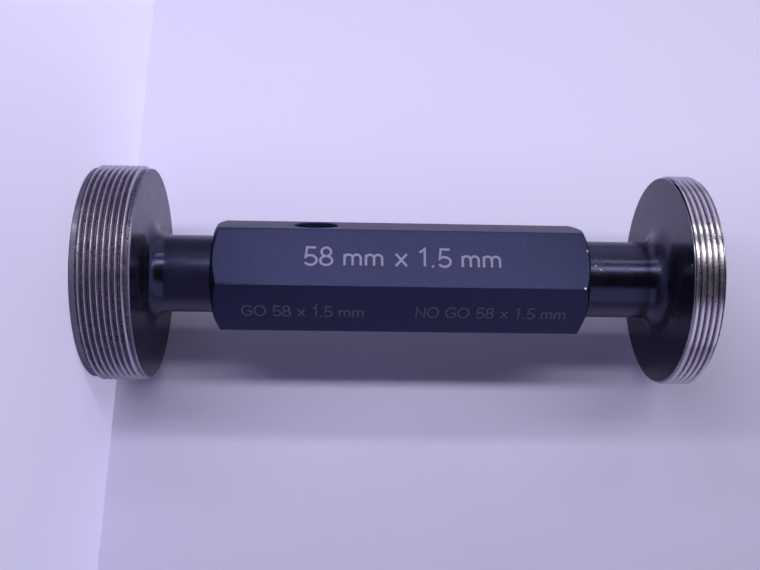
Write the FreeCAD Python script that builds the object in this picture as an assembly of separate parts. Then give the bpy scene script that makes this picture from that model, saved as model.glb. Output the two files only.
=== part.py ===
"""Double-ended thread plug gauge for M58 x 1.5 internal threads, class 6H.

Three pieces make the gauge. The GO member and the NO GO member are each turned from one bar: a
disc whose raised band carries the thread, a neck with a flared root and a taper shank. The handle
is a hexagon bar with chamfered ends, a taper socket at each end, a bore between the sockets and one
cross hole, through which a taper drift pushes the GO shank out. A rod down the bore pushes out the
NO GO shank.

The frame is the gauge standing on its GO face: the axis is Z, the origin is the centre of the GO
face, and the front flat of the hexagon faces -Y. All lengths are millimetres.
"""

import FreeCAD
import Part

import math
import os

# Thread bands, on the crests of the M58 x 1.5 thread. The fine thread itself is left off.
thread_dia = 58.0
no_go_crest_drop = 0.46  # the NO GO crests are cut down by this much on the diameter
run_in_angle = math.radians(45)

# Discs, with the plain lands beside the thread, just above its roots.
go_disc_width = 14.7
no_go_disc_width = 8.0
land_drop = 1.5  # from the nominal diameter to the land's
go_outer_land = 1.3
no_go_outer_land = 0.7
inner_land = 0.5

# Necks, between the inner face of a disc and the end face of the handle.
neck_dia = 21.0
go_neck_length = 17.1
no_go_neck_length = 21.7
neck_flare = 5.3  # how far the flare at the root of a neck runs along both faces
shoulder_gap = 0.3  # the shoulder stays off the handle, so that only the taper holds

# Taper seats, on the radius, one in fifty on the diameter.
seat_dia = 16.0
taper = 1 / 50
seat_clearance = 0.01
drift_reach = 0.2  # how far the GO shank reaches into the drift hole
socket_runout = 1.0

# Centre holes in the outer faces, for turning and grinding between centres.
centre_dia = 6.0
centre_pilot_dia = 2.5
centre_pilot_depth = 3.0
centre_half_angle = math.radians(30)

# Handle.
handle_length = 100.0
across_flats = 27.7
corner_radius = 0.4
end_circle_dia = 25.7
end_chamfer_angle = math.radians(30)
handle_bore_dia = 12.5
drift_hole_dia = 12.0
drift_hole_height = 27.0  # from the GO end of the handle to the hole's axis
front_flat_turn = -90.0  # degrees from +X to the normal of the front flat
drift_flat_turn = front_flat_turn - 60.0

# Places along the axis, and sizes that follow from the ones above.
land_radius = (thread_dia - land_drop) / 2
handle_start = go_disc_width + go_neck_length
handle_end = handle_start + handle_length
overall_length = handle_end + no_go_neck_length + no_go_disc_width
shank_length = drift_hole_height - drift_hole_dia / 2 + drift_reach

UP = FreeCAD.Vector(0, 0, 1)
ORIGIN = FreeCAD.Vector(0, 0, 0)


def lines(points):
    """Straight edges through (radius, height) points."""
    corners = [FreeCAD.Vector(r, 0, z) for r, z in points]
    return [Part.makeLine(a, b) for a, b in zip(corners, corners[1:])]


def revolved(edges):
    """A solid of revolution about Z from the edges round its section."""
    return Part.Face(Part.Wire(edges)).revolve(ORIGIN, UP, 360)


def turned(points):
    """A solid of revolution about Z from the corners round its section."""
    return revolved(lines(points + points[:1]))


def at_height(shape, height):
    """The shape moved up the axis."""
    moved = shape.copy()
    moved.translate(FreeCAD.Vector(0, 0, height))
    return moved


def flare(neck, height):
    """The curve from the disc's inner face up to the neck, tangent to both."""
    curve = Part.BezierCurve()
    curve.setPoles([
        FreeCAD.Vector(neck + neck_flare, 0, height),
        FreeCAD.Vector(neck, 0, height),
        FreeCAD.Vector(neck, 0, height + neck_flare),
    ])
    return curve.toShape()


def centre_hole():
    """The cutter for the 60 degree centre hole in an outer face."""
    mouth = centre_dia / 2
    pilot = centre_pilot_dia / 2
    cone_depth = (mouth - pilot) / math.tan(centre_half_angle)
    return turned([
        (0, 0),
        (mouth, 0),
        (pilot, cone_depth),
        (pilot, cone_depth + centre_pilot_depth),
        (0, cone_depth + centre_pilot_depth),
    ])


def member(disc_width, neck_length, outer_land, crest_dia):
    """One gauging member, with its outer face at height 0 and its shank upwards."""
    crest = crest_dia / 2
    run_in = (crest - land_radius) * math.tan(run_in_angle)
    band_end = disc_width - inner_land
    neck = neck_dia / 2
    shoulder = disc_width + neck_length - shoulder_gap
    end = disc_width + neck_length + shank_length
    shank = seat_dia / 2 - seat_clearance
    disc_side = [
        (0, 0),
        (land_radius, 0),
        (land_radius, outer_land),
        (crest, outer_land + run_in),
        (crest, band_end - run_in),
        (land_radius, band_end),
        (land_radius, disc_width),
        (neck + neck_flare, disc_width),
    ]
    shank_side = [
        (neck, disc_width + neck_flare),
        (neck, shoulder),
        (shank, shoulder),
        (shank, disc_width + neck_length),
        (shank - shank_length * taper / 2, end),
        (0, end),
        (0, 0),
    ]
    body = revolved(lines(disc_side) + [flare(neck, disc_width)] + lines(shank_side))
    return body.cut(centre_hole())


def make_go_member():
    """The GO member stands at the origin on its outer face."""
    return member(go_disc_width, go_neck_length, go_outer_land, thread_dia)


def make_no_go_member():
    """The NO GO member is turned over, so that its shank points down into the handle."""
    crest_dia = thread_dia - no_go_crest_drop
    solid = member(no_go_disc_width, no_go_neck_length, no_go_outer_land, crest_dia)
    solid.rotate(ORIGIN, FreeCAD.Vector(1, 0, 0), 180)
    return at_height(solid, overall_length)


def hexagon_bar():
    """The hexagon bar with rounded corners and a cone chamfer on each end."""
    corner = across_flats / math.sqrt(3)
    turns = [math.radians(front_flat_turn + 30 + 60 * n) for n in range(7)]
    outline = [FreeCAD.Vector(corner * math.cos(a), corner * math.sin(a), 0) for a in turns]
    bar = Part.Face(Part.makePolygon(outline)).extrude(UP * handle_length)
    long_edges = [edge for edge in bar.Edges if abs(edge.Length - handle_length) < 1e-6]
    bar = bar.makeFillet(corner_radius, long_edges)
    rim = end_circle_dia / 2
    chamfer_height = (corner - rim) * math.tan(end_chamfer_angle)
    envelope = turned([
        (0, 0),
        (rim, 0),
        (corner, chamfer_height),
        (corner, handle_length - chamfer_height),
        (rim, handle_length),
        (0, handle_length),
    ])
    return bar.common(envelope)


def socket(height, direction):
    """The cutter for a taper socket that opens at a height and runs up (1) or down (-1)."""
    depth = shank_length + socket_runout
    mouth = seat_dia / 2
    end = mouth - depth * taper / 2
    return turned([
        (0, height),
        (mouth, height),
        (end, height + direction * depth),
        (0, height + direction * depth),
    ])


def make_handle():
    """The handle, bored through, socketed at both ends and cross drilled for the drift."""
    turn = math.radians(drift_flat_turn)
    across = FreeCAD.Vector(math.cos(turn), math.sin(turn), 0)
    hole_start = across * -across_flats + UP * drift_hole_height
    handle = hexagon_bar()
    handle = handle.cut(Part.makeCylinder(handle_bore_dia / 2, handle_length))
    handle = handle.cut(socket(0, 1))
    handle = handle.cut(socket(handle_length, -1))
    handle = handle.cut(
        Part.makeCylinder(drift_hole_dia / 2, 2 * across_flats, hole_start, across)
    )
    return at_height(handle, handle_start)


def main():
    os.makedirs("parts", exist_ok=True)
    pieces = {
        "go_member": make_go_member(),
        "no_go_member": make_no_go_member(),
        "handle": make_handle(),
    }
    for name, shape in pieces.items():
        solid = shape.Solids[0]
        solid.exportStep(f"parts/{name}.step")
        print(name, len(shape.Solids), "solid,", round(solid.Volume), "mm3, valid", solid.isValid())


main()
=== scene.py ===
"""Looks of a double-ended thread plug gauge, M58 x 1.5.

The file is laid out as an add-on: settings, one operator for each piece and one for the stage, and
a panel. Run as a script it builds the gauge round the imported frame. The gauge stands on its GO
face, its axis is Z, and the front flat of the hexagon handle faces -Y. Lengths are metres.
"""

import math

import bmesh
import bpy
from bpy.props import FloatProperty, FloatVectorProperty, IntProperty, PointerProperty, StringProperty
from mathutils import Matrix, Vector


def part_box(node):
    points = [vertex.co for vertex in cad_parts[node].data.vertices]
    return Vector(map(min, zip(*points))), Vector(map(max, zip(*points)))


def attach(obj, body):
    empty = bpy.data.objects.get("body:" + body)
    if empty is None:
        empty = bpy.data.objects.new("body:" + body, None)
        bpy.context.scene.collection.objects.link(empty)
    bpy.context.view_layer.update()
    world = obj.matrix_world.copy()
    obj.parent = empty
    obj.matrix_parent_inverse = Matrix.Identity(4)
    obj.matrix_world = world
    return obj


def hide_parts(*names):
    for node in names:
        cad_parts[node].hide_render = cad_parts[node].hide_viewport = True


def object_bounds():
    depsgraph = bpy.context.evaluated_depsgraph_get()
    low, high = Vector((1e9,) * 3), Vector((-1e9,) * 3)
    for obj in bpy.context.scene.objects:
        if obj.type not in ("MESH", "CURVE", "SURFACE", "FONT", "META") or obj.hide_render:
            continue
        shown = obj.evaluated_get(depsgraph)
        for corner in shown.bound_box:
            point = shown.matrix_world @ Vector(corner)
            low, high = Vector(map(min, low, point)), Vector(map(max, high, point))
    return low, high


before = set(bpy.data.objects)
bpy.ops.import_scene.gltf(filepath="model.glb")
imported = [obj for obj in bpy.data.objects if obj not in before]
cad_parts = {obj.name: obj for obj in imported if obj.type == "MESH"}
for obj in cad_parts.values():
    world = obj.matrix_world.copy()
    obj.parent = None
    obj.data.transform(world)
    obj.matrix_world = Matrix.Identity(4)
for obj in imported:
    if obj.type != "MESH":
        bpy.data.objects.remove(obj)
CAD_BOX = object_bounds()
GO_LOW, GO_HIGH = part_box("go_member")
NO_GO_LOW, NO_GO_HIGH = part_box("no_go_member")
HANDLE_LOW, HANDLE_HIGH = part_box("handle")

bl_info = {
    "name": "Thread plug gauge",
    "version": (1, 0, 0),
    "blender": (4, 5, 0),
    "location": "3D View > Sidebar > Gauge",
    "description": "Builds a double-ended thread plug gauge with its finishes, markings and stage",
    "category": "Add Mesh",
}

MM = 0.001
THREAD_DIA = GO_HIGH.x - GO_LOW.x
NO_GO_CREST_DIA = NO_GO_HIGH.x - NO_GO_LOW.x
HANDLE_LENGTH = HANDLE_HIGH.z - HANDLE_LOW.z
ACROSS_FLATS = -2 * HANDLE_LOW.y
FRONT_TURN = math.radians(-90)
FLANK_ANGLE = math.radians(30)
CENTRE_HALF_ANGLE = math.radians(30)
FLARE_STEPS = 16
FLAT_STEPS = 16
CORNER_STEPS = 6
CUTTER_STEPS = 96
SHARP_TURNED = 35  # edges over this many degrees stay sharp
SHARP_HANDLE = 25
OXIDE, GROUND = 0, 1
STROKE_SHARE = 0.115  # width of a marked line as a share of the cap height
SIZE_UP, GO_UP, NO_GO_UP = 0.3 * MM, -0.8 * MM, -0.7 * MM  # places of the marks across their flats
SIZE_STRETCH = 1.15  # the large figures are wider than the small ones
LAYER = 0.002 * MM  # strokes that cross lie one over the other
STRIP_WIDTH = 0.028
STRIP_LENGTH = 0.7
NEAR_STRIP = (-0.054, 0.289)  # x, and distance in front of the backdrop
FAR_STRIP = (-0.305, 0.461)
FLOOR_HALF = 1.2
BACKDROP_HALF = 0.7
BACKDROP_LOW, BACKDROP_HIGH = -0.001, 0.8
# Corners of a black card that only reflections see: a painted dark reflection.
DARK_REFLECTION_CARD_CORNERS = [(-1.0, -1.0, 1.3), (1.0, -1.0, 1.3), (1.0, -1.0, -0.9), (-1.0, -1.0, -0.9)]
PAINTED_LIGHT_RIGHT, PAINTED_LIGHT_LEFT = 0.02, -0.06  # x between which the painted light on the sheets changes
FLOOR_PAINTED_LIGHT = (0.4, 0.6)  # painted light at the first x and at the second, brighter towards -X
BACKDROP_PAINTED_LIGHT = (0.0, 0.19)
CAMERA_TARGET = (0.0023, 0.0008, 0.0765)

# Wear: x, y, z and radius of each mark, in millimetres.
GO_NICKS = [(-17.0, -3.2, 14.7, 0.45)]
NO_GO_NICKS = [(-8.9, -17.9, 153.5, 0.45)]
NO_GO_BRIGHT = [(5.2, -25.8, 153.5, 0.3), (0.0, -10.5, 133.8, 0.25), (1.1, -10.4, 135.1, 0.3)]
GO_RUST = [(4.8, -28.1, 6.2, 0.4), (-8.0, -27.3, 6.6, 0.35)]
NO_GO_RUST = [(-5.1, -28.0, 158.2, 0.35)]
HANDLE_BRIGHT = [
    (11.0, -8.2, 59.6, 0.2),
    (-2.9, -13.85, 131.0, 0.35),
    (7.7, -13.85, 129.6, 0.3),
    (0.7, -13.85, 32.2, 0.2),
]


# ---------------------------------------------------------------------------------------------
# Settings


def length(name, description, default):
    """A length property in metres, from a default in millimetres."""
    return FloatProperty(
        name=name, description=description, default=default * MM, min=0.0, unit="LENGTH", precision=5
    )


def angle(name, description, degrees):
    """An angle property, from a default in degrees."""
    return FloatProperty(
        name=name, description=description, default=math.radians(degrees), subtype="ANGLE"
    )


def linear(code):
    """The linear RGB colour of an sRGB hex code such as 9A9AA8."""
    def channel(value):
        return value / 12.92 if value <= 0.04045 else ((value + 0.055) / 1.055) ** 2.4

    return tuple(channel(int(code[n:n + 2], 16) / 255) for n in (0, 2, 4))


def colour(name, description, code):
    """A colour property, from a default given as sRGB hex."""
    return FloatVectorProperty(
        name=name, description=description, default=linear(code), size=3, subtype="COLOR", min=0.0, max=1.0
    )


class ThreadSettings(bpy.types.PropertyGroup):
    """The ground thread, which both discs share."""

    pitch: length("Pitch", "Distance from one crest to the next", 1.5)
    crest_flat: length("Crest flat", "Width of the flat on a full crest", 0.19)
    root_depth: length("Root depth", "Depth of the root below the nominal radius", 0.92)
    wider_ridge: length("NO GO ridge", "How much wider the NO GO ridge is on each flank", 0.06)
    crest_rounding: length("Crest rounding", "Rounding on the edges of the crests", 0.025)
    blunt_start: FloatProperty(
        name="Blunt start", description="Share of a turn in which the ridge rises", default=0.03
    )
    columns: IntProperty(name="Columns", description="Facets round a disc", default=420, min=24)


class MemberSettings(bpy.types.PropertyGroup):
    """The two gauging members, apart from their thread."""

    go_disc: length("GO disc", "Width of the GO disc", 14.7)
    no_go_disc: length("NO GO disc", "Width of the NO GO disc", 8.0)
    go_first: length("GO first ridge", "Height of the start of the GO ridge above the outer face", 1.6)
    go_turns: FloatProperty(name="GO turns", description="Turns of the GO ridge", default=7.8)
    go_start: angle("GO start", "Where the GO ridge starts, from +X", 110)
    go_ring: length("GO ring", "Width of the thin ring between the GO thread and the inner face", 0.6)
    no_go_first: length("NO GO first ridge", "Height of the start of the NO GO ridge", 0.4)
    no_go_turns: FloatProperty(name="NO GO turns", description="Turns of the NO GO ridge", default=4.7)
    no_go_start: angle("NO GO start", "Where the NO GO ridge starts, before it is turned over", -110)
    no_go_ring: length("NO GO ring", "Width of the thin ring beside the NO GO thread", 0.35)
    ring_lift: length("Ring lift", "How far the thin ring stands over the land", 0.02)
    land_radius: length("Land radius", "Radius of the plain lands beside the thread", 28.25)
    edge_break: length("Edge break", "Chamfer on the rims of the faces", 0.25)
    neck_radius: length("Neck radius", "Radius of the neck", 10.5)
    flare: length("Flare", "How far the flare at the root of the neck runs", 5.3)
    shoulder_gap: length("Shoulder gap", "Gap between the shoulder and the handle", 0.3)
    shank_radius: length("Shank radius", "Radius of the taper shank at the handle's end", 7.99)
    shank_end_radius: length("Shank end", "Radius of the taper shank at its far end", 7.78)
    centre_radius: length("Centre hole", "Radius of the mouth of the centre hole", 3.0)
    pilot_radius: length("Pilot", "Radius of the pilot of the centre hole", 1.25)
    pilot_depth: length("Pilot depth", "Depth of the pilot below the cone", 3.0)


class HandleSettings(bpy.types.PropertyGroup):
    """The hexagon handle."""

    corner_radius: length("Corner radius", "Radius along the six long corners", 0.4)
    end_circle: length("End circle", "Radius at which the chamfer meets the end face", 12.85)
    chamfer: angle("Chamfer", "Angle of the end chamfer from the end face", 30)
    edge_round: length("Edge rounding", "Rounding where the chamfer meets the flats", 0.15)
    bore_radius: length("Bore radius", "Radius of the bore between the sockets", 6.25)
    socket_radius: length("Socket radius", "Radius of a socket at its mouth", 8.0)
    socket_end_radius: length("Socket end", "Radius of a socket at its far end", 7.778)
    socket_depth: length("Socket depth", "Depth of each taper socket", 22.2)
    drift_radius: length("Drift hole", "Radius of the drift hole", 6.0)
    drift_height: length("Drift hole height", "Height of the drift hole above the handle's GO end", 27.0)
    drift_break: length("Drift hole break", "Chamfer on the mouths of the drift hole", 0.25)
    drift_turn: angle("Drift hole turn", "Direction of the drift hole from +X", -150)


class MarkingSettings(bpy.types.PropertyGroup):
    """The plain size markings on the handle."""

    size_text: StringProperty(name="Size", description="Marking on the front flat", default="58 mm x 1.5 mm")
    go_text: StringProperty(
        name="GO end", description="Small marking near the GO end", default="GO 58 x 1.5 mm"
    )
    no_go_text: StringProperty(
        name="NO GO end", description="Small marking near the NO GO end", default="NO GO 58 x 1.5 mm"
    )
    large: length("Large caps", "Height of the large figures", 5.4)
    small: length("Small caps", "Height of the small figures", 3.9)
    size_place: length("Size place", "Middle of the large marking, from the handle's GO end", 50.2)
    go_place: length("GO place", "Middle of the GO marking, from the handle's GO end", 24.1)
    no_go_place: length("NO GO place", "Middle of the NO GO marking, from the handle's GO end", 74.0)
    lift: length("Lift", "Height of the laser marks above the flat", 0.004)


class StageSettings(bpy.types.PropertyGroup):
    """Floor, backdrop, lamps and camera."""

    paper: colour("Paper", "Colour of the floor and the backdrop", "DDD8FA")
    near_power: FloatProperty(name="Near strip", description="Power of the near lamp, in watts", default=0.68)
    far_power: FloatProperty(name="Far strip", description="Power of the far lamp, in watts", default=0.66)
    ambient: FloatProperty(name="Ambient", description="Strength of the light from all round", default=0.08)
    camera_distance: length("Camera distance", "From the gauge's axis to the camera", 247.4)
    camera_azimuth: angle("Camera azimuth", "Turn of the camera from the front flat", 19.87)
    camera_height: length("Camera height", "Height of the camera above the floor", 67.1)
    camera_roll: angle("Camera roll", "Roll that lays the gauge across the frame", 90.81)
    lens: FloatProperty(name="Lens", description="Focal length on a 36 mm sensor", default=42.52)


# ---------------------------------------------------------------------------------------------
# Meshes


def new_object(name, mesh):
    """A new object in the scene for a mesh."""
    piece = bpy.data.objects.new(name, mesh)
    bpy.context.scene.collection.objects.link(piece)
    return piece


def cleaned(name, points, faces, slots, sharp_degrees):
    """A mesh from points and faces, with doubles merged and its edges over an angle kept sharp."""
    mesh = bpy.data.meshes.new(name)
    mesh.from_pydata(points, [], faces)
    mesh.polygons.foreach_set("material_index", slots)
    bm = bmesh.new()
    bm.from_mesh(mesh)
    bmesh.ops.remove_doubles(bm, verts=bm.verts, dist=1e-7)
    bmesh.ops.dissolve_degenerate(bm, edges=bm.edges, dist=1e-7)
    bmesh.ops.recalc_face_normals(bm, faces=bm.faces)
    bm.to_mesh(mesh)
    bm.free()
    mesh.shade_smooth()
    mesh.set_sharp_from_angle(angle=math.radians(sharp_degrees))
    return mesh


def rise(value, share):
    """Smooth step from 0 to 1 over a share of a turn."""
    part = min(1.0, max(0.0, value / share))
    return part * part * (3 - 2 * part)


class Rim:
    """The threaded rim of one disc: radii at any height and turn, and the rows to sample it on."""

    def __init__(self, member, thread, crest_radius, first, turns):
        self.pitch = thread.pitch
        self.land = member.land_radius
        self.root = THREAD_DIA / 2 - thread.root_depth
        self.height = crest_radius - self.root
        self.first = first
        self.turns = turns
        self.blunt = thread.blunt_start
        self.rounding = thread.crest_rounding
        cut = THREAD_DIA / 2 - crest_radius
        self.crest_half = thread.crest_flat / 2 + cut * math.tan(FLANK_ANGLE)
        if cut > self.rounding:
            self.crest_half += thread.wider_ridge

    def radius(self, z, turn):
        """Radius at a height and at a share of a turn past the start of the thread."""
        place = (z - self.first) / self.pitch - turn
        ridge = math.floor(place + 0.5)
        run = ridge + turn
        if run < 0:
            return self.land
        if run > self.turns:
            return self.root
        flank = (abs(place - ridge) * self.pitch - self.crest_half) / math.tan(FLANK_ANGLE)
        depth = min(self.height, 0.5 * (flank + math.hypot(flank, self.rounding)))
        full = rise(run, self.blunt) * rise(self.turns - run, self.blunt)
        return self.root + full * (self.height - depth)

    def steps(self):
        """Offsets from the middle of a ridge at which one pitch is sampled."""
        foot = self.crest_half + self.height * math.tan(FLANK_ANGLE)
        soft = 0.4 * self.rounding
        half = [
            0.6 * self.crest_half,
            self.crest_half - soft,
            self.crest_half + soft,
            self.crest_half + 2.5 * soft,
            (self.crest_half + foot) / 2,
            foot - soft,
            foot,
        ]
        return [-x for x in reversed(half)] + [0.0] + half + [self.pitch / 2]


def thread_grid(rim, low, high, angles):
    """Points and faces of the rim from low to high. The rows follow the helix."""
    steps = rim.steps()
    count = len(angles)
    top = math.ceil((high - rim.first) / rim.pitch) + 2
    rows = [rim.first + rim.pitch * ridge + step for ridge in range(-2, top) for step in steps]
    points = []
    for row in rows:
        for n, a in enumerate(angles):
            z = min(high, max(low, row + rim.pitch * n / count))
            r = rim.radius(z, n / count)
            points.append((r * math.cos(a), r * math.sin(a), z))

    def at(row, column):
        if column == count:
            return min(row + len(steps), len(rows) - 1) * count
        return row * count + column

    faces = []
    for row in range(len(rows) - 1):
        for n in range(count):
            corners = [at(row, n), at(row, n + 1), at(row + 1, n + 1), at(row + 1, n)]
            if corners[1] == corners[2]:
                corners.pop(2)
            faces.append(corners)
    return points, faces


def lathe(profile, angles, start):
    """Points and faces of a lathed band through (radius, height) pairs, numbered from start."""
    count = len(angles)
    points = [(r * math.cos(a), r * math.sin(a), z) for r, z in profile for a in angles]
    faces = [
        [
            start + row * count + n,
            start + row * count + (n + 1) % count,
            start + (row + 1) * count + (n + 1) % count,
            start + (row + 1) * count + n,
        ]
        for row in range(len(profile) - 1)
        for n in range(count)
    ]
    return points, faces


def outer_face(member):
    """(radius, height, slot) from the pilot of the centre hole out to the rim of the outer face."""
    cone = (member.centre_radius - member.pilot_radius) / math.tan(CENTRE_HALF_ANGLE)
    land = member.land_radius
    chamfer = member.edge_break
    return [
        (0.0, cone + member.pilot_depth, OXIDE),
        (member.pilot_radius, cone + member.pilot_depth, OXIDE),
        (member.pilot_radius, cone, OXIDE),
        (member.centre_radius - chamfer / 2, chamfer / 2 / math.tan(CENTRE_HALF_ANGLE), OXIDE),
        (member.centre_radius, 0.0, OXIDE),
        (0.4 * land, 0.0, OXIDE),
        (0.75 * land, 0.0, OXIDE),
        (land - chamfer, 0.0, GROUND),
        (land, chamfer, GROUND),
    ]


def neck_side(member, disc, ring, neck_length, shank_length):
    """(radius, height, slot) from the thin ring beside the thread along the neck to the shank's end."""
    land = member.land_radius
    neck = member.neck_radius
    seat = disc + neck_length
    shoulder = seat - member.shoulder_gap
    lift = member.ring_lift
    points = [
        (land + lift - 0.2 * ring, disc - ring, GROUND),
        (land + lift, disc - 0.8 * ring, GROUND),
        (land + lift, disc - 0.3 * ring, GROUND),
        (land + lift - 0.3 * ring, disc, OXIDE),
        (0.85 * land, disc, OXIDE),
        (0.7 * land, disc, OXIDE),
    ]
    for n in range(FLARE_STEPS + 1):
        t = n / FLARE_STEPS
        points.append((neck + member.flare * (1 - t) ** 2, disc + member.flare * t * t, OXIDE))
    straight = shoulder - member.edge_break - disc - member.flare
    points += [(neck, disc + member.flare + straight * n / 5, OXIDE) for n in range(1, 6)]
    points += [
        (neck - member.edge_break, shoulder, OXIDE),
        (member.shank_radius, shoulder, OXIDE),
        (member.shank_radius, seat, OXIDE),
        (member.shank_end_radius, seat + shank_length, OXIDE),
        (0.0, seat + shank_length, OXIDE),
    ]
    return points


def member_mesh(name, rim, start_angle, outer, inner):
    """One gauging member, with its outer face at height 0 and its shank upwards."""
    count = bpy.context.scene.gauge_thread.columns
    angles = [start_angle + 2 * math.pi * n / count for n in range(count)]
    points, faces = lathe([(r, z) for r, z, _ in outer], angles, 0)
    slots = [slot for _, _, slot in outer[:-1] for _ in range(count)]
    more, grid = thread_grid(rim, outer[-1][1], inner[0][1], angles)
    faces += [[len(points) + index for index in face] for face in grid]
    slots += [GROUND] * len(grid)
    points += more
    wall = [(rim.root, inner[0][1], GROUND)] + inner
    more, band = lathe([(r, z) for r, z, _ in wall], angles, len(points))
    points += more
    faces += band
    slots += [slot for _, _, slot in wall[:-1] for _ in range(count)]
    return cleaned(name, points, faces, slots, SHARP_TURNED)


def hexagon_outline(handle):
    """(angle, radius) round the hexagon, with rounded corners."""
    half = ACROSS_FLATS / 2
    centre = (half - handle.corner_radius) / math.cos(math.radians(30))
    reach = (half - handle.corner_radius) * math.tan(math.radians(30))
    outline = []
    for side in range(6):
        flat = math.radians(60 * side)
        for n in range(FLAT_STEPS + 1):
            across = reach * (2 * n / FLAT_STEPS - 1)
            outline.append((flat + math.atan2(across, half), math.hypot(across, half)))
        for n in range(1, CORNER_STEPS):
            bend = math.radians(60) * (n / CORNER_STEPS - 0.5)
            x = centre + handle.corner_radius * math.cos(bend)
            y = handle.corner_radius * math.sin(bend)
            outline.append((flat + math.radians(30) + math.atan2(y, x), math.hypot(x, y)))
    return outline


def handle_column(handle, radius):
    """(radius, height) from the middle of the bore round one end to the middle of a flat."""
    slope = math.tan(handle.chamfer)
    edge = (radius - handle.end_circle) * slope
    soft = handle.edge_round
    return [
        (handle.bore_radius, HANDLE_LENGTH / 2),
        (handle.bore_radius, handle.socket_depth),
        (handle.socket_end_radius, handle.socket_depth),
        (handle.socket_radius, soft),
        (handle.socket_radius + soft, 0.0),
        ((handle.socket_radius + handle.end_circle) / 2, 0.0),
        (handle.end_circle - soft, 0.0),
        (handle.end_circle + soft, soft * slope),
        (radius - soft, edge - soft * slope),
        (radius - soft / 4, edge + soft / 4),
        (radius, edge + soft),
        (radius, HANDLE_LENGTH / 4),
        (radius, HANDLE_LENGTH / 2),
    ]


def handle_mesh(handle):
    """The hexagon bar with its chamfered ends, sockets and bore, from 0 up to its length."""
    outline = hexagon_outline(handle)
    count = len(outline)
    points = []
    faces = []
    for turn, radius in outline:
        column = handle_column(handle, radius)
        column += [(r, HANDLE_LENGTH - z) for r, z in reversed(column[1:-1])]
        points += [(r * math.cos(turn), r * math.sin(turn), z) for r, z in column]
    rows = len(points) // count
    for n in range(count):
        m = (n + 1) % count
        for row in range(rows):
            after = (row + 1) % rows
            faces.append([n * rows + row, n * rows + after, m * rows + after, m * rows + row])
    return cleaned("hexagon_handle", points, faces, [0] * len(faces), SHARP_HANDLE)


def drift_cutter(handle):
    """A temporary object that cuts the drift hole and breaks its two mouths."""
    half = ACROSS_FLATS / 2
    chamfer = handle.drift_break
    past = 2 * MM
    side = [
        (handle.drift_radius + chamfer + past, half + past),
        (handle.drift_radius, half - chamfer),
    ]
    profile = [(0.0, half + past)] + side + [(r, -z) for r, z in reversed(side)] + [(0.0, -half - past)]
    angles = [2 * math.pi * n / CUTTER_STEPS for n in range(CUTTER_STEPS)]
    points, faces = lathe(profile, angles, 0)
    mesh = cleaned("drift_cutter", points, faces, [0] * len(faces), SHARP_TURNED)
    cutter = new_object("drift_cutter", mesh)
    lay = Matrix.Rotation(handle.drift_turn, 4, "Z") @ Matrix.Rotation(math.radians(90), 4, "Y")
    cutter.data.transform(Matrix.Translation((0, 0, handle.drift_height)) @ lay)
    return cutter


def arc(x, y, rx, ry, start, end, steps=14):
    """Points on an elliptical arc, from one angle in degrees to another."""
    turns = [math.radians(start + (end - start) * n / steps) for n in range(steps + 1)]
    return [(x + rx * math.cos(a), y + ry * math.sin(a)) for a in turns]


def glyphs():
    """Strokes of each character in units of its cap height, with its width."""
    bowl = arc(0.33, 0.30, 0.26, 0.25, 140, -150)
    arch = arc(0.25, 0.42, 0.17, 0.19, 180, 0)
    arch_2 = arc(0.59, 0.42, 0.17, 0.19, 180, 0)
    return {
        "0": (0.66, [arc(0.33, 0.5, 0.26, 0.45, 90, 450, 28)]),
        "1": (0.50, [[(0.10, 0.76), (0.32, 0.95), (0.32, 0.05)]]),
        "2": (0.66, [arc(0.32, 0.69, 0.24, 0.26, 165, -38) + [(0.07, 0.05), (0.60, 0.05)]]),
        "3": (0.64, [arc(0.31, 0.73, 0.20, 0.22, 150, -90), arc(0.31, 0.28, 0.24, 0.23, 90, -150)]),
        "4": (0.68, [[(0.47, 0.05), (0.47, 0.95), (0.06, 0.30), (0.64, 0.30)]]),
        "5": (0.66, [[(0.56, 0.95), (0.18, 0.95), bowl[0]] + bowl[1:]]),
        "7": (0.62, [[(0.07, 0.95), (0.58, 0.95), (0.24, 0.05)]]),
        "8": (0.66, [arc(0.33, 0.73, 0.20, 0.22, 90, 450, 24), arc(0.33, 0.28, 0.25, 0.23, 90, 450, 24)]),
        ".": (0.32, [[(0.16, 0.0), (0.16, 0.11)]]),
        "x": (0.62, [[(0.08, 0.05), (0.54, 0.68)], [(0.08, 0.68), (0.54, 0.05)]]),
        "m": (0.90, [[(0.08, 0.62), (0.08, 0.05)], arch + [(0.42, 0.05)], arch_2 + [(0.76, 0.05)]]),
        "G": (0.84, [arc(0.43, 0.5, 0.35, 0.45, 40, 322, 24) + [(0.72, 0.46), (0.46, 0.46)]]),
        "O": (0.88, [arc(0.43, 0.5, 0.36, 0.45, 90, 450, 28)]),
        "N": (0.80, [[(0.10, 0.05), (0.10, 0.95), (0.66, 0.05), (0.66, 0.95)]]),
        " ": (0.36, []),
    }


def ribbon(stroke, width):
    """Quads along a stroke with mitred bends, as a list of left and right points."""
    closed = math.dist(stroke[0], stroke[-1]) < 1e-6
    line = [Vector(p) for p in stroke]
    sides = []
    for n, point in enumerate(line):
        before = line[n - 1] if n else (line[-2] if closed else None)
        after = line[n + 1] if n + 1 < len(line) else (line[1] if closed else None)
        run_in = (point - before).normalized() if before is not None else None
        run_out = (after - point).normalized() if after is not None else None
        run_in = run_in or run_out
        run_out = run_out or run_in
        along = (run_in + run_out).normalized()
        normal = Vector((-along.y, along.x))
        reach = width / 2 / max(0.45, normal.dot(Vector((-run_in.y, run_in.x))))
        sides.append((point + normal * reach, point - normal * reach))
    return sides


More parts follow.
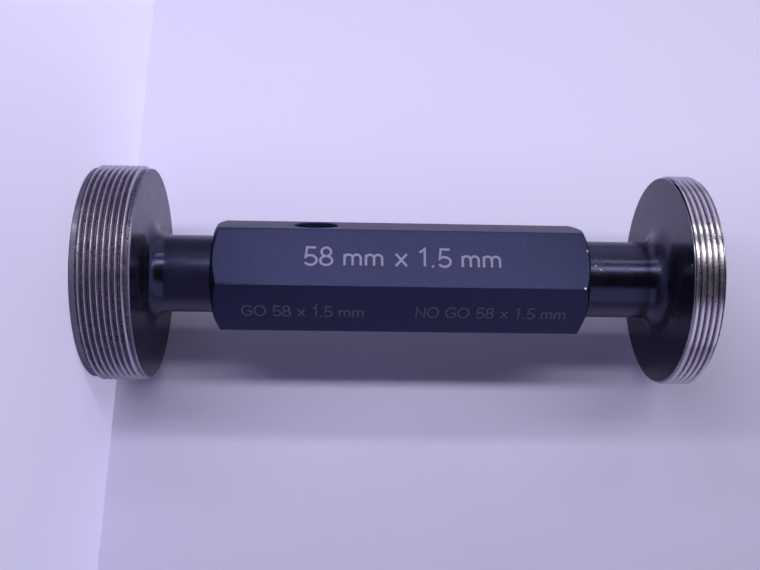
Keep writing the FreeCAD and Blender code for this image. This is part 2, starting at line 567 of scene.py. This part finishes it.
def marking_mesh(name, text, cap, stretch, matrix):
    """The strokes of a line of text as a flat mesh, centred on the matrix's origin."""
    table = glyphs()
    width = sum(table[c][0] for c in text) * stretch
    points = []
    faces = []
    pen = -width / 2
    for character in text:
        advance, strokes = table[character]
        for layer, stroke in enumerate(strokes):
            over = layer * LAYER
            placed = [(pen + x * stretch, y - 0.5) for x, y in stroke]
            sides = ribbon(placed, STROKE_SHARE)
            start = len(points)
            for left, right in sides:
                points += [matrix @ Vector((p.x * cap, p.y * cap, over)) for p in (left, right)]
            faces += [
                [start + 2 * n, start + 2 * n + 1, start + 2 * n + 3, start + 2 * n + 2]
                for n in range(len(sides) - 1)
            ]
        pen += advance * stretch
    mesh = bpy.data.meshes.new(name)
    mesh.from_pydata(points, [], faces)
    return mesh


def flat_matrix(normal_turn, z, up, lift):
    """A frame on a flat of the handle: x along the axis, z out of the flat, y across it."""
    normal = Vector((math.cos(normal_turn), math.sin(normal_turn), 0.0))
    along = Vector((0.0, 0.0, 1.0))
    across = normal.cross(along)
    turn = Matrix((along, across, normal)).transposed().to_4x4()
    return Matrix.Translation(normal * (ACROSS_FLATS / 2 + lift) + along * z + across * up) @ turn


# ---------------------------------------------------------------------------------------------
# Materials


def new_material(name):
    """A material with a Principled shader, and its node tree and shader."""
    material = bpy.data.materials.new(name)
    material.use_nodes = True
    tree = material.node_tree
    return material, tree, tree.nodes["Principled BSDF"]


def add(tree, kind, inputs=None, **settings):
    """A new node with its settings, its input values and its links."""
    node = tree.nodes.new(kind)
    for key, value in settings.items():
        setattr(node, key, value)
    for key, value in (inputs or {}).items():
        if isinstance(value, bpy.types.NodeSocket):
            tree.links.new(value, node.inputs[key])
        else:
            node.inputs[key].default_value = value
    return node


def rgba(code):
    """Linear colour with alpha, from sRGB hex."""
    return (*linear(code), 1.0)


def scale_for(millimetres):
    """The scale that gives a noise texture features of about this size."""
    return 1 / (millimetres * MM)


def ramp(tree, value, stops):
    """A colour ramp through (position, sRGB hex) stops."""
    node = add(tree, "ShaderNodeValToRGB", {0: value})
    elements = node.color_ramp.elements
    elements[0].position, elements[0].color = stops[0][0], rgba(stops[0][1])
    elements[1].position, elements[1].color = stops[-1][0], rgba(stops[-1][1])
    for position, code in stops[1:-1]:
        elements.new(position).color = rgba(code)
    return node.outputs[0]


def mapped(tree, value, low, high, to_low=0.0, to_high=1.0):
    """A value mapped from one range to another and clamped."""
    inputs = {0: value, 1: low, 2: high, 3: to_low, 4: to_high}
    return add(tree, "ShaderNodeMapRange", inputs).outputs[0]


def mixed(tree, share, first, second):
    """Two colours mixed by a share."""
    node = add(tree, "ShaderNodeMix", {0: share, 6: first, 7: second}, data_type="RGBA")
    return node.outputs[2]


def calculated(tree, operation, first, second):
    """Two values combined."""
    return add(tree, "ShaderNodeMath", {0: first, 1: second}, operation=operation).outputs[0]


def noise(tree, place, size, detail=2.0, roughness=0.5):
    """Noise with features of a size in millimetres."""
    inputs = {"Vector": place, "Scale": scale_for(size), "Detail": detail, "Roughness": roughness}
    return add(tree, "ShaderNodeTexNoise", inputs).outputs[0]


def spots(tree, place, centres):
    """A mask that is 1 inside small marks, given as (x, y, z, radius) in millimetres."""
    total = 0.0
    wobble = noise(tree, place, 0.5)
    for x, y, z, radius in centres:
        inputs = {0: place, 1: (x * MM, y * MM, z * MM)}
        gap = add(tree, "ShaderNodeVectorMath", inputs, operation="DISTANCE").outputs[1]
        reach = calculated(tree, "MULTIPLY", wobble, 2 * radius * MM)
        mask = mapped(tree, calculated(tree, "DIVIDE", gap, reach), 0.8, 1.1, 1.0, 0.0)
        total = calculated(tree, "MAXIMUM", total, mask)
    return total


def cylinder_place(tree):
    """Object coordinates, and the distance from the gauge's axis."""
    place = add(tree, "ShaderNodeTexCoord").outputs["Object"]
    flat = add(tree, "ShaderNodeVectorMath", {0: place, 1: (1, 1, 0)}, operation="MULTIPLY").outputs[0]
    return place, add(tree, "ShaderNodeVectorMath", {0: flat}, operation="LENGTH").outputs[1]


def ground_steel(name, root, crest, rust):
    """Hardened tool steel, thread ground bright.

    Crests and flanks are clean bright steel, slightly warm. Old oil, dust and rust specks sit in
    the roots as broken dark dots.
    """
    material, tree, shader = new_material(name)
    place, distance = cylinder_place(tree)
    depth = mapped(tree, distance, root, crest)
    crumbs = noise(tree, place, 0.55, 3.0, 0.6)
    patches = noise(tree, place, 5.0, 2.0, 0.5)
    # The base colour runs from dark grey in the roots to pale at the crests.
    graded = ramp(tree, calculated(tree, "ADD", depth, calculated(tree, "MULTIPLY", patches, 0.2)), [
        (0.0, "66626A"), (0.3, "9690A0"), (0.7, "B4AEBA"), (1.0, "CAC4CC"),
    ])
    gathered = calculated(tree, "ADD", crumbs, calculated(tree, "MULTIPLY", patches, 0.35))
    loose = mapped(tree, gathered, 0.7, 0.76)
    low = mapped(tree, depth, 0.04, 0.17, 1.0, 0.0)
    dirt = calculated(tree, "MULTIPLY", loose, low)
    colour_out = mixed(tree, dirt, graded, rgba("17120F"))
    rusty = spots(tree, place, rust)
    colour_out = mixed(tree, rusty, colour_out, rgba("5A3A20"))
    stain = calculated(tree, "MAXIMUM", dirt, rusty)
    tree.links.new(colour_out, shader.inputs["Base Color"])
    tree.links.new(mapped(tree, stain, 0.0, 1.0, 1.0, 0.1), shader.inputs["Metallic"])
    polish = mapped(tree, patches, 0.3, 0.7, 0.2, 0.3)
    rough = calculated(tree, "ADD", polish, mapped(tree, stain, 0.0, 1.0, 0.0, 0.4))
    tree.links.new(rough, shader.inputs["Roughness"])
    stretched = add(tree, "ShaderNodeVectorMath", {0: place, 1: (1, 1, 14)}, operation="MULTIPLY").outputs[0]
    lines = noise(tree, stretched, 1.2, 2.0)
    bump = add(tree, "ShaderNodeBump", {"Height": lines, "Strength": 0.15, "Distance": 0.01 * MM})
    tree.links.new(bump.outputs[0], shader.inputs["Normal"])
    return material


def black_oxide(name, nicks, bright_specks=()):
    """Turned tool steel with a hot black oxide finish: satin blue-black with a thin oil film."""
    material, tree, shader = new_material(name)
    place, distance = cylinder_place(tree)
    cloud = noise(tree, place, 7.0, 3.0, 0.6)
    fine = noise(tree, place, 0.5, 2.0, 0.6)
    base = mixed(tree, mapped(tree, cloud, 0.35, 0.65), rgba("08080F"), rgba("0F0F18"))
    base = mixed(tree, spots(tree, place, nicks), base, rgba("050506"))
    worn = spots(tree, place, bright_specks)
    base = mixed(tree, worn, base, rgba("B9B6C0"))
    tree.links.new(base, shader.inputs["Base Color"])
    shader.inputs["Specular IOR Level"].default_value = 0.75
    shader.inputs["Specular Tint"].default_value = rgba("BCBCFF")
    graded = mapped(tree, cloud, 0.3, 0.7, 0.2, 0.28)
    rough = calculated(tree, "ADD", graded, mapped(tree, fine, 0.3, 0.7, -0.03, 0.03))
    tree.links.new(rough, shader.inputs["Roughness"])
    turned = noise(tree, add(tree, "ShaderNodeCombineXYZ", {0: distance, 2: 0.0}).outputs[0], 0.35, 2.0)
    height = calculated(tree, "ADD", turned, calculated(tree, "MULTIPLY", fine, 0.6))
    bump = add(tree, "ShaderNodeBump", {"Height": height, "Strength": 0.2, "Distance": 0.01 * MM})
    tree.links.new(bump.outputs[0], shader.inputs["Normal"])
    return material


def anodised_aluminium(name, bright_specks):
    """Bead-blasted aluminium with a black anodised layer: fine even grain, blue-black sheen."""
    material, tree, shader = new_material(name)
    place = add(tree, "ShaderNodeTexCoord").outputs["Object"]
    # Real bead-blast pits are about 0.1 mm. They are drawn at 0.3 mm, the finest that shows.
    grain = noise(tree, place, 0.3, 2.0, 0.7)
    cloud = noise(tree, place, 9.0, 2.0, 0.5)
    base = mixed(tree, mapped(tree, grain, 0.3, 0.7), rgba("191C38"), rgba("2E325A"))
    base = mixed(tree, calculated(tree, "MULTIPLY", cloud, 0.3), base, rgba("2A2A48"))
    base = mixed(tree, spots(tree, place, bright_specks), base, rgba("C9C6D2"))
    tree.links.new(base, shader.inputs["Base Color"])
    shader.inputs["Metallic"].default_value = 0.85
    shader.inputs["Coat Weight"].default_value = 0.15
    shader.inputs["Coat Roughness"].default_value = 0.45
    tree.links.new(mapped(tree, grain, 0.3, 0.7, 0.5, 0.42), shader.inputs["Roughness"])
    bump = add(tree, "ShaderNodeBump", {"Height": grain, "Strength": 0.35, "Distance": 0.03 * MM})
    tree.links.new(bump.outputs[0], shader.inputs["Normal"])
    return material


def laser_mark(name, pale, dark):
    """Laser marking on black anodising: the dye is bleached, which leaves a matt grey line."""
    material, tree, shader = new_material(name)
    place = add(tree, "ShaderNodeTexCoord").outputs["Object"]
    grain = noise(tree, place, 0.3, 2.0, 0.7)
    base = mixed(tree, mapped(tree, grain, 0.25, 0.75), rgba(dark), rgba(pale))
    tree.links.new(base, shader.inputs["Base Color"])
    shader.inputs["Roughness"].default_value = 0.6
    return material


def paper(name, colour_value, one_sided, painted_light=(0.0, 0.0)):
    """Matt paper with a faint tooth. A one-sided sheet can't be seen from behind.

    The painted light, at +X and at -X, is emission that only the camera sees: it evens out the sheets, paints
    them brighter towards -X, where the lamps stand, and lights nothing.
    """
    material, tree, shader = new_material(name)
    place = add(tree, "ShaderNodeTexCoord").outputs["Object"]
    tooth = noise(tree, place, 40.0, 2.0)
    pale = (*colour_value, 1.0)
    dull = (*(0.97 * c for c in colour_value), 1.0)
    tree.links.new(mixed(tree, tooth, dull, pale), shader.inputs["Base Color"])
    shader.inputs["Roughness"].default_value = 0.9
    shader.inputs["Specular IOR Level"].default_value = 0.2
    across = add(tree, "ShaderNodeSeparateXYZ", {0: place}).outputs[0]
    # Painted light: camera-only emission, stronger towards -X
    level = mapped(tree, across, PAINTED_LIGHT_RIGHT, PAINTED_LIGHT_LEFT, *painted_light)
    shown = add(tree, "ShaderNodeLightPath").outputs["Is Camera Ray"]
    tree.links.new(calculated(tree, "MULTIPLY", level, shown), shader.inputs["Emission Strength"])
    shader.inputs["Emission Color"].default_value = pale
    if one_sided:
        back = add(tree, "ShaderNodeNewGeometry").outputs["Backfacing"]
        clear = add(tree, "ShaderNodeBsdfTransparent").outputs[0]
        mix = add(tree, "ShaderNodeMixShader", {0: back, 1: shader.outputs[0], 2: clear})
        tree.links.new(mix.outputs[0], tree.nodes["Material Output"].inputs[0])
    return material


# ---------------------------------------------------------------------------------------------
# Stage


def sheet(name, corners):
    """A flat stage sheet through four corners."""
    mesh = bpy.data.meshes.new(name)
    mesh.from_pydata(corners, [], [(0, 1, 2, 3)])
    piece = new_object(name, mesh)
    return piece


def strip_lamp(name, power, place):
    """A long narrow lamp parallel to the gauge's axis, turned towards it."""
    lamp = bpy.data.lights.new(name, "AREA")
    lamp.shape = "RECTANGLE"
    lamp.size = STRIP_WIDTH
    lamp.size_y = STRIP_LENGTH
    lamp.energy = power
    piece = bpy.data.objects.new(name, lamp)
    bpy.context.scene.collection.objects.link(piece)
    out = Vector((place.x, place.y, 0)).normalized()
    along = Vector((0, 0, 1))
    turn = Matrix((along.cross(out), along, out)).transposed().to_4x4()
    piece.matrix_world = Matrix.Translation(place) @ turn


def set_world(scene, stage):
    """Soft light from all round, and the paper's colour behind everything."""
    world = bpy.data.worlds.new("studio")
    world.use_nodes = True
    tree = world.node_tree
    background = tree.nodes["Background"]
    path = add(tree, "ShaderNodeLightPath")
    shown = calculated(tree, "MAXIMUM", path.outputs["Is Camera Ray"], path.outputs["Is Glossy Ray"])
    shown = calculated(tree, "MAXIMUM", shown, path.outputs["Is Transmission Ray"])
    pale = (*stage.paper, 1.0)
    soft = (stage.ambient, stage.ambient, stage.ambient, 1.0)
    tree.links.new(mixed(tree, shown, soft, pale), background.inputs[0])
    background.inputs[1].default_value = 1.0
    scene.world = world


def set_camera(scene, stage):
    """The camera, which looks at the gauge's axis and rolls to lay it across the frame."""
    data = bpy.data.cameras.new("camera")
    data.lens = stage.lens
    data.sensor_width = 36.0
    camera = bpy.data.objects.new("camera", data)
    scene.collection.objects.link(camera)
    azimuth = stage.camera_azimuth
    place = Vector((math.sin(azimuth), -math.cos(azimuth), 0)) * stage.camera_distance
    place.z = stage.camera_height
    forward = (Vector(CAMERA_TARGET) - place).normalized()
    level = forward.cross(Vector((0, 0, 1))).normalized()
    up = level.cross(forward)
    roll = stage.camera_roll
    right = level * math.cos(roll) + up * math.sin(roll)
    top = up * math.cos(roll) - level * math.sin(roll)
    camera.matrix_world = Matrix.Translation(place) @ Matrix((right, top, -forward)).transposed().to_4x4()
    data.clip_start = 0.01
    scene.camera = camera


# ---------------------------------------------------------------------------------------------
# Operators


def dress(piece, nodes, slot, *materials):
    """Gives a piece its materials and its body, and hides the CAD nodes that it stands for. The slot is not
    used.
    """
    for material in materials:
        piece.data.materials.append(material)
    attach(piece, "root")
    if nodes:
        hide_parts(*nodes)


class GAUGE_OT_go_member(bpy.types.Operator):
    """Build the GO member: wide threaded disc, neck and taper shank"""

    bl_idname = "gauge.go_member"
    bl_label = "GO member"

    def execute(self, context):
        member = context.scene.gauge_member
        thread = context.scene.gauge_thread
        shank = GO_HIGH.z - HANDLE_LOW.z
        rim = Rim(member, thread, THREAD_DIA / 2, member.go_first, member.go_turns)
        inner = neck_side(member, member.go_disc, member.go_ring, HANDLE_LOW.z - member.go_disc, shank)
        mesh = member_mesh("go_gauging_member", rim, member.go_start, outer_face(member), inner)
        piece = new_object("go_gauging_member", mesh)
        oxide = black_oxide("black_oxide_turned_steel_go", GO_NICKS)
        ground = ground_steel("ground_tool_steel_go", rim.root, THREAD_DIA / 2, GO_RUST)
        dress(piece, ["go_member"], "gauge_steel", oxide, ground)
        return {"FINISHED"}


class GAUGE_OT_no_go_member(bpy.types.Operator):
    """Build the NO GO member: narrow threaded disc with truncated crests, neck and taper shank"""

    bl_idname = "gauge.no_go_member"
    bl_label = "NO GO member"

    def execute(self, context):
        member = context.scene.gauge_member
        thread = context.scene.gauge_thread
        shank = HANDLE_HIGH.z - NO_GO_LOW.z
        neck = NO_GO_HIGH.z - HANDLE_HIGH.z - member.no_go_disc
        rim = Rim(member, thread, NO_GO_CREST_DIA / 2, member.no_go_first, member.no_go_turns)
        inner = neck_side(member, member.no_go_disc, member.no_go_ring, neck, shank)
        mesh = member_mesh("no_go_gauging_member", rim, member.no_go_start, outer_face(member), inner)
        over = Matrix.Translation((0, 0, NO_GO_HIGH.z)) @ Matrix.Rotation(math.pi, 4, "X")
        mesh.transform(over)
        piece = new_object("no_go_gauging_member", mesh)
        oxide = black_oxide("black_oxide_turned_steel_no_go", NO_GO_NICKS, NO_GO_BRIGHT)
        ground = ground_steel("ground_tool_steel_no_go", rim.root, NO_GO_CREST_DIA / 2, NO_GO_RUST)
        dress(piece, ["no_go_member"], "gauge_steel", oxide, ground)
        return {"FINISHED"}


class GAUGE_OT_handle(bpy.types.Operator):
    """Build the hexagon handle with its sockets, bore and drift hole"""

    bl_idname = "gauge.handle"
    bl_label = "Handle"

    def execute(self, context):
        handle = context.scene.gauge_handle
        bar = new_object("handle_bar", handle_mesh(handle))
        bar.data.transform(Matrix.Rotation(FRONT_TURN, 4, "Z"))
        cutter = drift_cutter(handle)
        cut = bar.modifiers.new("drift_hole", "BOOLEAN")
        cut.operation = "DIFFERENCE"
        cut.solver = "EXACT"
        cut.object = cutter
        context.view_layer.update()
        mesh = bpy.data.meshes.new_from_object(bar.evaluated_get(context.evaluated_depsgraph_get()))
        bpy.data.objects.remove(bar)
        bpy.data.objects.remove(cutter)
        mesh.transform(Matrix.Translation((0, 0, HANDLE_LOW.z)))
        mesh.shade_smooth()
        mesh.set_sharp_from_angle(angle=math.radians(SHARP_HANDLE))
        mesh.materials.clear()
        piece = new_object("hexagon_handle", mesh)
        anodised = anodised_aluminium("black_anodised_aluminium", HANDLE_BRIGHT)
        dress(piece, ["handle"], "anodised_handle", anodised)
        return {"FINISHED"}


class GAUGE_OT_markings(bpy.types.Operator):
    """Mark plain sizes on the front flat and on the flat beside it"""

    bl_idname = "gauge.markings"
    bl_label = "Markings"

    def execute(self, context):
        marking = context.scene.gauge_marking
        start = HANDLE_LOW.z
        side_turn = FRONT_TURN + math.radians(60)
        large, small = marking.large, marking.small
        lines = [
            ("size_marking", marking.size_text, large, FRONT_TURN, marking.size_place, SIZE_UP, SIZE_STRETCH),
            ("go_marking", marking.go_text, small, side_turn, marking.go_place, GO_UP, 1.0),
            ("no_go_marking", marking.no_go_text, small, side_turn, marking.no_go_place, NO_GO_UP, 1.0),
        ]
        front = laser_mark("laser_marked_front", "9A90B4", "7C749A")
        # Painted shade: the marks on the side flat get a darker copy of the marking colours, for a flat
        # turned away from the lamps.
        side = laser_mark("laser_marked_side_painted_shade", "5A5470", "48425C")
        for name, text, cap, turn, place, up, stretch in lines:
            matrix = flat_matrix(turn, start + place, up, marking.lift)
            piece = new_object(name, marking_mesh(name, text, cap, stretch, matrix))
            dress(piece, [], "anodised_handle", front if turn == FRONT_TURN else side)
        return {"FINISHED"}


class GAUGE_OT_stage(bpy.types.Operator):
    """Set the floor, the backdrop, the lamps, the world and the camera"""

    bl_idname = "gauge.stage"
    bl_label = "Stage"

    def execute(self, context):
        stage = context.scene.gauge_stage
        back = THREAD_DIA / 2
        middle = (CAD_BOX[0][2] + CAD_BOX[1][2]) / 2
        far, wide = FLOOR_HALF, BACKDROP_HALF
        low, high = BACKDROP_LOW, BACKDROP_HIGH
        floor = sheet("floor", [(-far, -far, 0), (far, -far, 0), (far, far, 0), (-far, far, 0)])
        corners = [(-wide, back, low), (wide, back, low), (wide, back, high), (-wide, back, high)]
        wall = sheet("backdrop", corners)
        # Painted dark reflection: a black card that only glossy rays see, standing for the dark room in front
        # of the gauge.
        card = sheet("painted_dark_reflection_card", DARK_REFLECTION_CARD_CORNERS)
        # Both sheets carry painted light on top of their paper colour.
        floor.data.materials.append(paper("matt_paper_floor_painted_light", stage.paper, False, FLOOR_PAINTED_LIGHT))
        wall.data.materials.append(paper("matt_paper_backdrop_painted_light", stage.paper, True, BACKDROP_PAINTED_LIGHT))
        card.data.materials.append(paper("painted_dark_reflection", linear("101014"), False))
        floor.visible_shadow = False
        card.visible_camera = False
        card.visible_diffuse = False
        card.visible_shadow = False
        for name, power, (x, reach) in (
            ("near_strip", stage.near_power, NEAR_STRIP),
            ("far_strip", stage.far_power, FAR_STRIP),
        ):
            strip_lamp(name, power, Vector((x, back - reach, middle)))
        set_world(context.scene, stage)
        set_camera(context.scene, stage)
        context.scene.view_settings.view_transform = "Standard"
        return {"FINISHED"}


class GAUGE_PT_panel(bpy.types.Panel):
    """Lists the operators that build the gauge"""

    bl_idname = "GAUGE_PT_panel"
    bl_label = "Thread plug gauge"
    bl_space_type = "VIEW_3D"
    bl_region_type = "UI"
    bl_category = "Gauge"

    def draw(self, context):
        for operator in OPERATORS:
            self.layout.operator(operator.bl_idname)
        for name in SETTINGS:
            group = getattr(context.scene, name)
            box = self.layout.box()
            for prop in group.bl_rna.properties:
                if prop.identifier not in ("rna_type", "name"):
                    box.prop(group, prop.identifier)


SETTINGS = {
    "gauge_thread": ThreadSettings,
    "gauge_member": MemberSettings,
    "gauge_handle": HandleSettings,
    "gauge_marking": MarkingSettings,
    "gauge_stage": StageSettings,
}
OPERATORS = [
    GAUGE_OT_go_member,
    GAUGE_OT_no_go_member,
    GAUGE_OT_handle,
    GAUGE_OT_markings,
    GAUGE_OT_stage,
]


def register():
    for name, group in SETTINGS.items():
        bpy.utils.register_class(group)
        setattr(bpy.types.Scene, name, PointerProperty(type=group))
    for item in OPERATORS + [GAUGE_PT_panel]:
        bpy.utils.register_class(item)


def unregister():
    for item in reversed(OPERATORS + [GAUGE_PT_panel]):
        bpy.utils.unregister_class(item)
    for name, group in SETTINGS.items():
        delattr(bpy.types.Scene, name)
        bpy.utils.unregister_class(group)


def main():
    """Build the whole gauge on its stage."""
    register()
    bpy.ops.gauge.go_member()
    bpy.ops.gauge.no_go_member()
    bpy.ops.gauge.handle()
    bpy.ops.gauge.markings()
    bpy.ops.gauge.stage()


if __name__ == "__main__":
    main()
